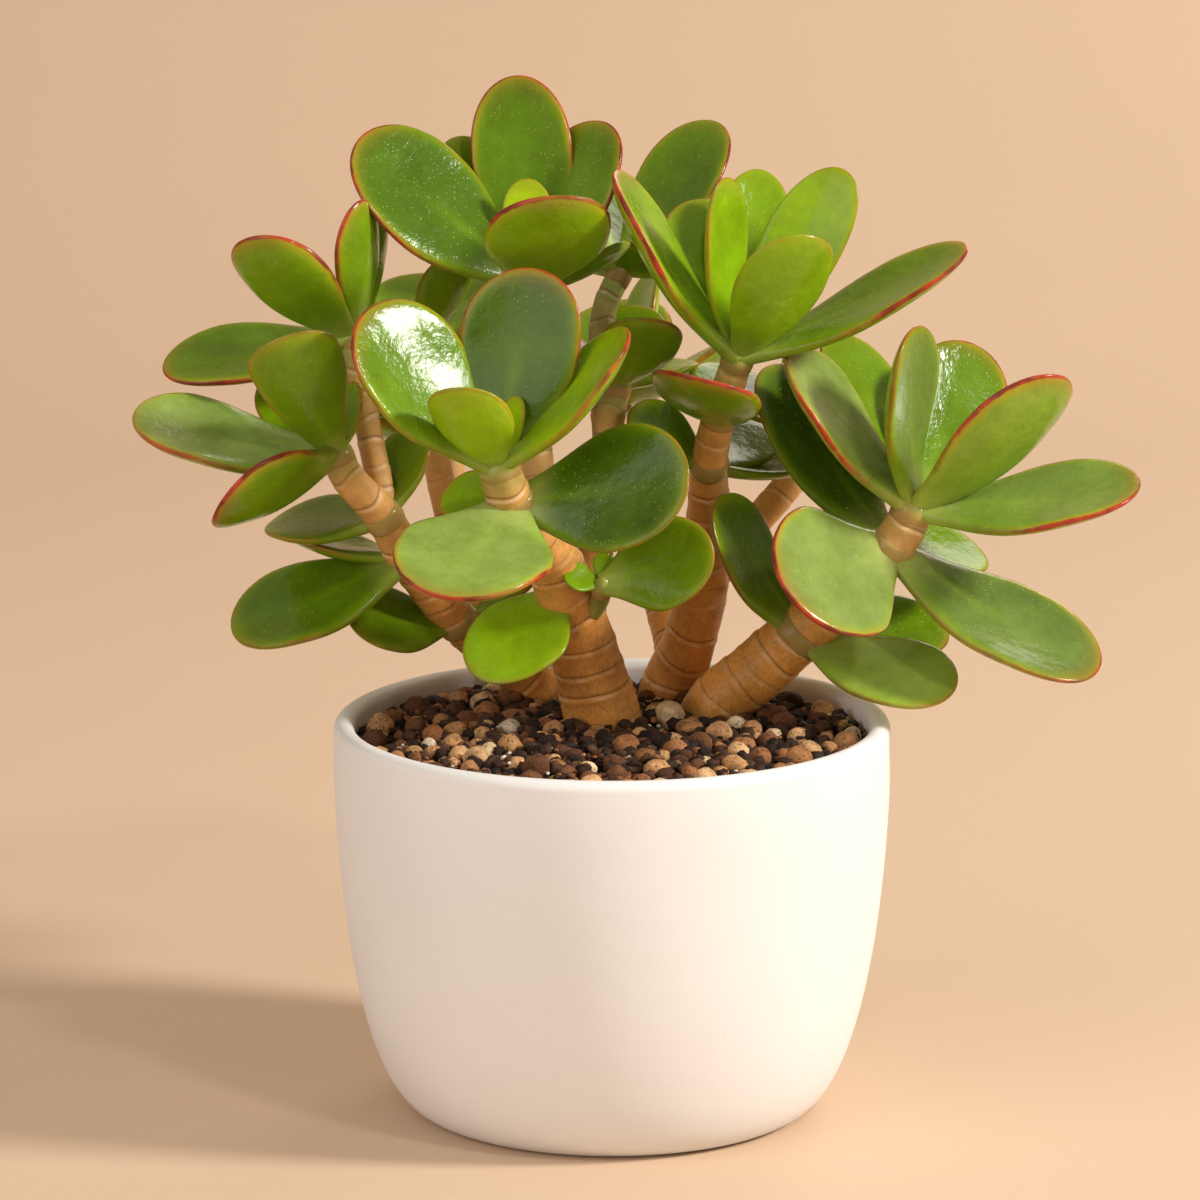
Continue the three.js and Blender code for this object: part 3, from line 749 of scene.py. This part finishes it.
# %% All groups of leaves
leaf_pieces = []
for number, (node, (stem, place, rows)) in enumerate(LEAF_GROUPS.items()):
    batch = Batch()
    at_tip = place >= len(STEMS[stem]) - 1
    if len(rows) > 1:
        add_collar(batch, stem, place, at_tip)
    youth_and_light_digits, reds, *painted_sheen_digits = LEAF_LOOKS[node]
    for i, row in enumerate(rows):
        # The third digit is a painted sheen that stands for reflected light.
        painted_sheen = painted_sheen_digits[0][i] if painted_sheen_digits else "0"
        add_leaf(batch, stem, place, row, (youth_and_light_digits[i], reds[i], painted_sheen), 100 * number + i)
    leaf_pieces.append(batch.piece("jade_" + node, leaf_skin, [node], "leaf"))
print("leaf pieces:", len(leaf_pieces))

# %% [markdown]
# ## Trunks and branches
# A stem is a tube whose radius swells a little under each leaf scar and narrows just above it. The
# tubes of a trunk run into each other at its forks. A sculpted or voxel-merged trunk would blend
# the forks more, but rings laid along the line keep every scar crisp and square to its stem.

# %% How old each stem is from root to tip, and how warm its brown, which on the right trunk also paints sunlight
STEM_AGE = {
    "front": (1.0, 0.42, 0.35), "crest": (0.45, 0.18, 0.2), "heart": (0.6, 0.3, 0.2),
    "rear": (0.35, 0.2, 0.2), "twig": (0.05, 0.0, 0.0), "middle": (1.0, 0.5, 0.5),
    "shoulder": (0.9, 0.5, 0.6), "back": (1.0, 0.4, 0.4), "right": (1.0, 0.45, 0.8),
    "left": (1.0, 0.4, 0.5), "side": (0.5, 0.25, 0.3), "nape": (0.8, 0.35, 0.5),
    "corner": (1.0, 0.4, 0.4),
}
STEM_SIDES = 36
STEP = 0.45
SOIL_HEIGHT = 81.0
FIRST_SCAR, SCAR_SPACING, LAST_SCAR = (2, 5), (4.5, 8.5), 4
SCAR_TILT, SCAR_STRENGTH = 0.9, (0.5, 1.0)


def stem_length(name):
    last = len(STEMS[name]) - 1
    spots = np.array([stem_at(name, u)[0] for u in np.linspace(0, last, 200)])
    return np.linalg.norm(np.diff(spots, axis=0), axis=1).sum()


def scar_places(length, draw):
    places, here = [], draw.uniform(*FIRST_SCAR)
    while here < length - LAST_SCAR:
        tilt, phase = draw.uniform(-SCAR_TILT, SCAR_TILT), draw.uniform(0, 6.28)
        places.append((here, tilt, phase, draw.uniform(*SCAR_STRENGTH)))
        here += draw.uniform(*SCAR_SPACING)
    return places


print("length of the front stem in mm:", round(float(stem_length("front"))))

# %% Rings, creases and swellings round a stem, and its lumps and flares
RING_WIDTH, RING_WOBBLE = 0.30, 0.25
CREASE_AWAY, CREASE_WIDTH = 0.75, 0.4
SWELL_HEIGHT, SWELL_AWAY, SWELL_WIDTH, DIP_WIDTH = 0.20, 0.4, 1.0, 0.4
LUMP_HEIGHT, LUMPS_ROUND, LUMPS_UP = 0.045, 1.3, 0.09
FORK_FLARE, FORK_REACH, SOIL_FLARE, SOIL_REACH = 0.22, 3.0, 0.10, 4.0


def hump(off, middle, width):
    return np.exp(-((off - middle) / width) ** 2)


def scars_at(up, turn, scars):
    ring, crease_shade, swell = np.zeros(STEM_SIDES), np.zeros(STEM_SIDES), np.zeros(STEM_SIDES)
    for where, tilt, phase, strength in scars:
        wobble = RING_WOBBLE * np.cos(3 * turn + 2 * phase)
        off = up - where - tilt * np.cos(turn - phase) - wobble
        ring = np.maximum(ring, strength * hump(off, 0, RING_WIDTH))
        crease_shade = np.maximum(crease_shade, strength * hump(off, CREASE_AWAY, CREASE_WIDTH))
        swell += strength * (SWELL_HEIGHT * hump(off, -SWELL_AWAY, SWELL_WIDTH)
                             - SWELL_HEIGHT * hump(off, SWELL_AWAY, DIP_WIDTH))
    return ring, crease_shade, swell


def stem_reach(name, radius, up, turn, spot, seed):
    far = up * LUMPS_UP + seed
    around = [(math.cos(a) * LUMPS_ROUND, math.sin(a) * LUMPS_ROUND, far) for a in turn]
    lumps = np.array([noise.noise(Vector(p)) for p in around])
    flare = 0.0 if name in MAIN_STEMS else FORK_FLARE * math.exp(-up / FORK_REACH)
    soil_flare = SOIL_FLARE * math.exp(-abs(spot[2] - SOIL_HEIGHT) / SOIL_REACH)
    return radius * (1 + flare + soil_flare + LUMP_HEIGHT * lumps)


print("stems that rise from the mix:", MAIN_STEMS)

# %% One stem as rings with its colour values
FRESH_REACH, FRESH_SHARE, AGE_CURVE, SOIL_SHADE_REACH = 9, 0.25, 1.4, 4
SWELL_LEAST, SWELL_PER_RADIUS = 0.5, 8


def add_stem(batch, name, seed):
    last = len(STEMS[name]) - 1
    length = stem_length(name)
    count = int(length / STEP)
    turn = np.arange(STEM_SIDES) / STEM_SIDES * 2 * math.pi
    scars = scar_places(length, random.Random(seed))
    old, young, warm_and_sunlit = STEM_AGE[name]
    rings, shown, kinds = [], [], []
    spots = [stem_at(name, last * i / count) for i in range(count + 1)]
    up = 0.0
    for i, (spot, radius) in enumerate(spots):
        if i:
            up += float(np.linalg.norm(spot - spots[i - 1][0]))
        across, beyond = side_frame(stem_direction(name, last * i / count))
        ring, crease_shade, swell = scars_at(up, turn, scars)
        reach = stem_reach(name, radius, up, turn, spot, seed)
        reach += swell * (SWELL_LEAST + radius / SWELL_PER_RADIUS)
        rings.append(spot + reach[:, None] * (
            np.cos(turn)[:, None] * across + np.sin(turn)[:, None] * beyond))
        fresh = max(0.0, 1 - (length - up) / FRESH_REACH) * FRESH_SHARE
        age = old + (young - old) * (up / length) ** AGE_CURVE - fresh
        # Painted shade on the stem just above the mix, fading out a few millimetres up.
        soil_shade_level = min(max(0.0, 1 - (spot[2] - SOIL_HEIGHT) / SOIL_SHADE_REACH), 1.0)
        same = np.ones(STEM_SIDES)
        up_cm, round_turn = up / 10 * same, 0.5 + 0.5 * np.cos(turn)
        shown.append(np.stack([age * same, ring, up_cm, round_turn], axis=-1))
        kinds.append(np.stack([soil_shade_level * same, warm_and_sunlit * same, crease_shade, same], axis=-1))
    points, faces = skin(np.array(rings))
    batch.add(points, faces, np.concatenate(shown), np.concatenate(kinds))


print("rings on the front stem:", int(stem_length("front") / STEP))

# %% The four trunks
for number, (node, names) in enumerate(TRUNKS.items()):
    batch = Batch()
    for i, name in enumerate(names):
        add_stem(batch, name, 10 * number + i)
    trunk = batch.piece("ringed_" + node, bark_skin, [node], "bark")
    print(trunk.name, "faces:", len(trunk.data.polygons))

# %% [markdown]
# ## The pot
# The pot is thrown round: straight, slightly tapered sides that tuck in to a flat foot, and a soft
# rounded rim. Its profile follows the same curve as the solid's, only finer, so the walls agree.

# %% The pot's profile turned round its axis
POT_HEIGHT, RIM_RADIUS, BASE_RADIUS, WALL, FLOOR = 86.0, 60.0, 39.5, 4.5, 6.5
SHOULDER_HEIGHT, SIDE_TAPER, FOOT_TUCK = 74.0, 1.0, 7.5
POT_SEGMENTS, AXIS_GAP = 160, 0.5
PLAIN_KIND = (0.5, 0.5, 0.5, 1)


def side_curve(inset, foot, count):
    t = np.linspace(0, 1, count)[:, None]
    corners = np.array([(RIM_RADIUS - inset, SHOULDER_HEIGHT),
                        (RIM_RADIUS - SIDE_TAPER - inset, SHOULDER_HEIGHT / 2),
                        (RIM_RADIUS - FOOT_TUCK - inset, foot), (BASE_RADIUS - inset, foot)])
    return ((1 - t) ** 3 * corners[0] + 3 * t * (1 - t) ** 2 * corners[1]
            + 3 * t ** 2 * (1 - t) * corners[2] + t ** 3 * corners[3])


def turned(profile, segments):
    turn = np.arange(segments) / segments * 2 * math.pi
    profile = np.array(profile)
    return np.stack([profile[:, :1] * np.cos(turn), profile[:, :1] * np.sin(turn),
                     np.repeat(profile[:, 1:], segments, axis=1)], axis=-1)


lip_turn = np.linspace(0, math.pi, 15)
lip = np.stack([RIM_RADIUS - WALL / 2 + WALL / 2 * np.cos(lip_turn),
                POT_HEIGHT - WALL / 2 + WALL / 2 * np.sin(lip_turn)], axis=-1)
profile = [(AXIS_GAP, 0.0), (20.0, 0.0), (38.0, 0.0)] + side_curve(0, 0, 44)[::-1].tolist()
profile += lip.tolist() + side_curve(WALL, FLOOR, 30).tolist() + [(AXIS_GAP, FLOOR)]
points, faces = skin(turned(profile, POT_SEGMENTS))
batch = Batch()
batch.add(points, faces, np.ones((len(points), 4)), PLAIN_KIND)
pot = batch.piece("white_pot", pot_glaze, ["pot"], "ceramic")
print("pot faces:", len(pot.data.polygons))

# %% [markdown]
# ## The potting mix
# The mix is a bed with grains lying in it. A particle system would scatter grains, but the
# exported model drops particles, so each grain is real mesh here. Large pellets are placed first,
# none over another, then smaller and smaller grains fill the spaces between them, as they do in a
# shaken pot.

# %% The bed under the grains
MIX_EDGE_HEIGHT, MIX_CROWN_HEIGHT, GAP = 80.5, 82.0, 0.3
INNER_RADIUS = RIM_RADIUS - WALL - GAP
BED_DEPTH, BED_SEGMENTS = 0.8, 200
BED_WAVES = ((0.9, 0.35), (0.5, 1.1))
BED_KIND = (0.08, 0.15, 0.0, 1)


def mix_height(distance):
    share = distance / (RIM_RADIUS - WALL)
    return MIX_CROWN_HEIGHT - (MIX_CROWN_HEIGHT - MIX_EDGE_HEIGHT) * share * share


wall_profile = [(AXIS_GAP, FLOOR + GAP)] + side_curve(WALL + GAP, FLOOR + GAP, 12)[::-1].tolist()
top_profile = [(INNER_RADIUS, MIX_EDGE_HEIGHT - BED_DEPTH)]
top_profile += [(away, mix_height(away) - BED_DEPTH)
                for away in np.linspace(INNER_RADIUS - 1, AXIS_GAP, 60)]
rings = turned(wall_profile + top_profile, BED_SEGMENTS)
for ring in rings[len(wall_profile):]:
    for point in ring:
        point[2] += sum(high * noise.noise(Vector(point) * fine) for high, fine in BED_WAVES)
points, faces = skin(rings)
batch = Batch()
batch.add(points, faces, np.ones((len(points), 4)), BED_KIND)
bed = batch.piece("humus_bed", grit, ["potting_mix"], "mix")
print("bed faces:", len(bed.data.polygons))

# %% One lumpy grain
BIG_LUMPS, SMALL_LUMPS, SMALL_SHARE = 1.2, 3.4, 0.6


def ball(level):
    shape = bmesh.new()
    bmesh.ops.create_icosphere(shape, subdivisions=level, radius=1.0)
    points = np.array([v.co[:] for v in shape.verts])
    faces = [[v.index for v in f.verts] for f in shape.faces]
    shape.free()
    return points, faces


def add_grain(batch, unit_ball, spot, radius, rough, squash, hue, glint, pores, draw):
    points, faces = unit_ball
    seed = Vector((draw.uniform(0, 90), draw.uniform(0, 90), draw.uniform(0, 90)))
    lumps = np.array([noise.noise(Vector(p) * BIG_LUMPS + seed)
                      + SMALL_SHARE * noise.noise(Vector(p) * SMALL_LUMPS + seed) for p in points])
    turned_points = points * (1 + rough * lumps)[:, None] * (1.0, draw.uniform(0.85, 1.1), squash)
    spin = Matrix.Rotation(draw.uniform(0, 6.28), 3, "Z")
    tip = Matrix.Rotation(draw.uniform(-0.5, 0.5), 3, "X")
    batch.add(turned_points @ np.array(spin @ tip).T * radius + spot, faces,
              np.ones((len(points), 4)), (hue, glint, pores, 1))


print("points of a fine grain:", len(ball(3)[0]))

# %% Where a grain may lie: inside the wall, clear of the trunks, seldom where humus lies
TRUNK_FEET = [stem_at(name, 1) for name in MAIN_STEMS]
WALL_ROOM, TRUNK_ROOM = 0.9, 0.55
HUMUS_MIDDLE, HUMUS_HALF = (-3, -6), (20, 36)


def drawn_place(draw, low, high):
    turn, away = draw.uniform(0, 2 * math.pi), INNER_RADIUS * math.sqrt(draw.random())
    return away * math.cos(turn), away * math.sin(turn), away, draw.uniform(low, high)


def room_for(x, y, radius, placed, overlap):
    if math.hypot(x, y) > INNER_RADIUS - radius * WALL_ROOM:
        return False
    if any(math.hypot(x - foot[0], y - foot[1]) < reach + radius * TRUNK_ROOM
           for foot, reach in TRUNK_FEET):
        return False
    return all(math.hypot(x - a, y - b) > (radius + c) * overlap for a, b, c in placed)


def humus_share(x, y):
    across = (x - HUMUS_MIDDLE[0]) / HUMUS_HALF[0]
    away = (y - HUMUS_MIDDLE[1]) / HUMUS_HALF[1]
    return math.exp(-across ** 2 - away ** 4)


print("trunk feet:", len(TRUNK_FEET))

# %% Clay pellets: smallest and largest radius, how many, and how far apart they must lie
PELLET_SIZES = ((2.4, 3.2, 62, 1.02), (1.8, 2.4, 120, 1.0), (1.2, 1.8, 140, 1.0))
PELLET_HUES = (0.20, 0.27, 0.34, 0.41, 0.47, 0.53, 0.58, 0.63, 0.68, 0.77, 0.91)
PEBBLE_SPOT, PEBBLE_RADIUS = (12.6, 9.3, 84.0), 3.2
TRIES, HUMUS_KEEPS_OUT = 9000, 0.88
draw = random.Random(5)
placed = [(*PEBBLE_SPOT[:2], PEBBLE_RADIUS)]
pellets = Batch()
fine_ball, small_ball, tiny_ball = ball(3), ball(2), ball(1)
add_grain(pellets, fine_ball, PEBBLE_SPOT, PEBBLE_RADIUS, rough=0.10, squash=1.1, hue=0.86,
          glint=0.2, pores=0.35, draw=draw)
for low, high, wanted, overlap in PELLET_SIZES:
    made = 0
    for _ in range(TRIES):
        if made == wanted:
            break
        x, y, away, radius = drawn_place(draw, low, high)
        in_humus = draw.random() < HUMUS_KEEPS_OUT * humus_share(x, y)
        if in_humus or not room_for(x, y, radius, placed, overlap):
            continue
        placed.append((x, y, radius))
        made += 1
        hue = draw.choice(PELLET_HUES) + draw.uniform(-0.04, 0.04)
        spot = (x, y, mix_height(away) - BED_DEPTH + radius * draw.uniform(0.45, 0.95))
        add_grain(pellets, fine_ball if radius > 2 else small_ball, spot, radius, rough=0.15,
                  squash=draw.uniform(0.8, 1.0), hue=hue, glint=0.15,
                  pores=draw.uniform(0.4, 1.0), draw=draw)
clay = pellets.piece("clay_pellets", grit, ["potting_mix"], "mix")
print("pellets:", len(placed), "faces:", len(clay.data.polygons))

# %% Humus crumbs and perlite: radii, how many, range of hues, and roughness of outline
CRUMB_SIZES = ((1.0, 2.0, 1000, (0.02, 0.22), 0.6), (0.5, 1.0, 1100, (0.0, 0.46), 0.5),
               (0.4, 0.9, 90, (0.95, 1.0), 0.35))
SUNK, HUMUS_HEAP, CRUMB_SCATTER = -0.4, 0.8, 1.9
crumbs, lying = Batch(), 0
for low, high, wanted, hues, rough in CRUMB_SIZES:
    for _ in range(wanted):
        x, y, away, radius = drawn_place(draw, low, high)
        if not room_for(x, y, radius, [], 1.0):
            continue
        lift = SUNK + HUMUS_HEAP * humus_share(x, y) + draw.uniform(0.0, CRUMB_SCATTER)
        spot = (x, y, mix_height(away) + lift)
        add_grain(crumbs, small_ball if radius > 0.9 else tiny_ball, spot, radius, rough,
                  squash=draw.uniform(0.6, 0.95), hue=draw.uniform(*hues),
                  glint=draw.choice((0.1, 0.2, 0.7)), pores=0.3, draw=draw)
        lying += 1
humus = crumbs.piece("humus_crumbs_and_perlite", grit, ["potting_mix"], "mix")
print("crumbs:", lying, "faces:", len(humus.data.polygons))

# %% [markdown]
# ## Floor, light and camera
# The plant stands on a plain pale floor. It is exactly flat under the pot, then bends up far
# behind it into an even backdrop. Its far side is see-through, so that a view from behind looks
# through it. One small warm lamp from the right stands for sun through a window, a broad soft one
# from the left lifts the shadows, a very small one in front glints on the wax, and a low one from
# behind lights up the rims of the leaves. The camera looks slightly down through a long lens from
# more than a metre away, which keeps the pot's sides nearly upright.

# %% The floor's material
FLOOR_SAND = (0.650, 0.480, 0.335, 1)
floor_paint, shader, w, where = new_finish("warm_pale_floor")
mottled = w.group(MOTTLE, Color=FLOOR_SAND, Position=where, Coarse=6.0, Fine=260.0, Amount=0.02)
finish_off(w, shader, mottled.outputs["Color"], 0.8, mottled.outputs["Grain"], 0.08, 0.0003)
far_side = w.node("ShaderNodeNewGeometry").outputs["Backfacing"]
w.put(shader, "Alpha", w.math("SUBTRACT", 1.0, far_side))
print("material:", floor_paint.name)

# %% A flat floor that bends up into a backdrop
FLOOR_REACH, BEND_START, BEND_RADIUS, BACKDROP_TOP = 4.5, 0.75, 0.8, 2.4
bend = np.linspace(0, math.pi / 2, 40)
line = [(-FLOOR_REACH, 0.0)]
line += [(BEND_START + BEND_RADIUS * math.sin(a), BEND_RADIUS * (1 - math.cos(a)))
         for a in bend]
line += [(BEND_START + BEND_RADIUS, BACKDROP_TOP)]
mesh = bpy.data.meshes.new("studio_floor")
points = [(x, away, up) for away, up in line for x in (-FLOOR_REACH, FLOOR_REACH)]
faces = [(2 * i, 2 * i + 1, 2 * i + 3, 2 * i + 2) for i in range(len(line) - 1)]
mesh.from_pydata(points, [], faces)
mesh.polygons.foreach_set("use_smooth", [True] * len(mesh.polygons))
floor = bpy.data.objects.new("studio_floor", mesh)
bpy.context.scene.collection.objects.link(floor)
mesh.materials.append(floor_paint)
print("floor faces:", len(mesh.polygons))

# %% Lamps: name, place, size, power and tint
MIDDLE = (0.0, 0.0, 0.12)
LAMPS = [("sun_side_lamp", (1.36, -0.36, 0.96), 0.3, 27.0, (1.0, 0.96, 0.90)),
         ("soft_fill_lamp", (-1.4, -1.2, 0.9), 1.6, 13.0, (1.0, 0.94, 0.89)),
         ("window_glint_lamp", (0.62, -0.85, 1.15), 0.15, 3.6, (1.0, 0.97, 0.93)),
         ("rim_lamp", (0.5, 1.2, 0.9), 0.7, 3.5, (1.0, 0.95, 0.86))]
for name, spot, size, power, tint in LAMPS:
    light = bpy.data.lights.new(name, "AREA")
    light.shape, light.size, light.energy, light.color = "DISK", size, power, tint
    holder = bpy.data.objects.new(name, light)
    holder.location = spot
    holder.rotation_euler = (Vector(MIDDLE) - Vector(spot)).to_track_quat("-Z", "Y").to_euler()
    bpy.context.scene.collection.objects.link(holder)
print("lamps:", len(LAMPS))

# %% The pale light of the room
ROOM_TINT, ROOM_STRENGTH = (1.0, 0.89, 0.79, 1), 0.46
world = bpy.data.worlds.new("pale_room")
world.use_nodes = True
world.node_tree.nodes["Background"].inputs["Color"].default_value = ROOM_TINT
world.node_tree.nodes["Background"].inputs["Strength"].default_value = ROOM_STRENGTH
bpy.context.scene.world = world
print("room light:", ROOM_STRENGTH)

# %% Camera at the viewing angle of the photograph
LENS_MM, SENSOR_MM, SEES_UP_TO = 167.0, 36.0, 20.0
EYE_SPOT = (-0.0026, -1.168, 0.360)
LOOKS_DOWN = 12
camera = bpy.data.cameras.new("long_lens")
camera.lens, camera.sensor_width, camera.clip_end = LENS_MM, SENSOR_MM, SEES_UP_TO
eye = bpy.data.objects.new("long_lens", camera)
eye.location = EYE_SPOT
eye.rotation_euler = (math.radians(90 - LOOKS_DOWN), 0, 0)
bpy.context.scene.collection.objects.link(eye)
bpy.context.scene.camera = eye
bpy.context.scene.view_settings.view_transform = "Standard"
print("lens:", camera.lens)
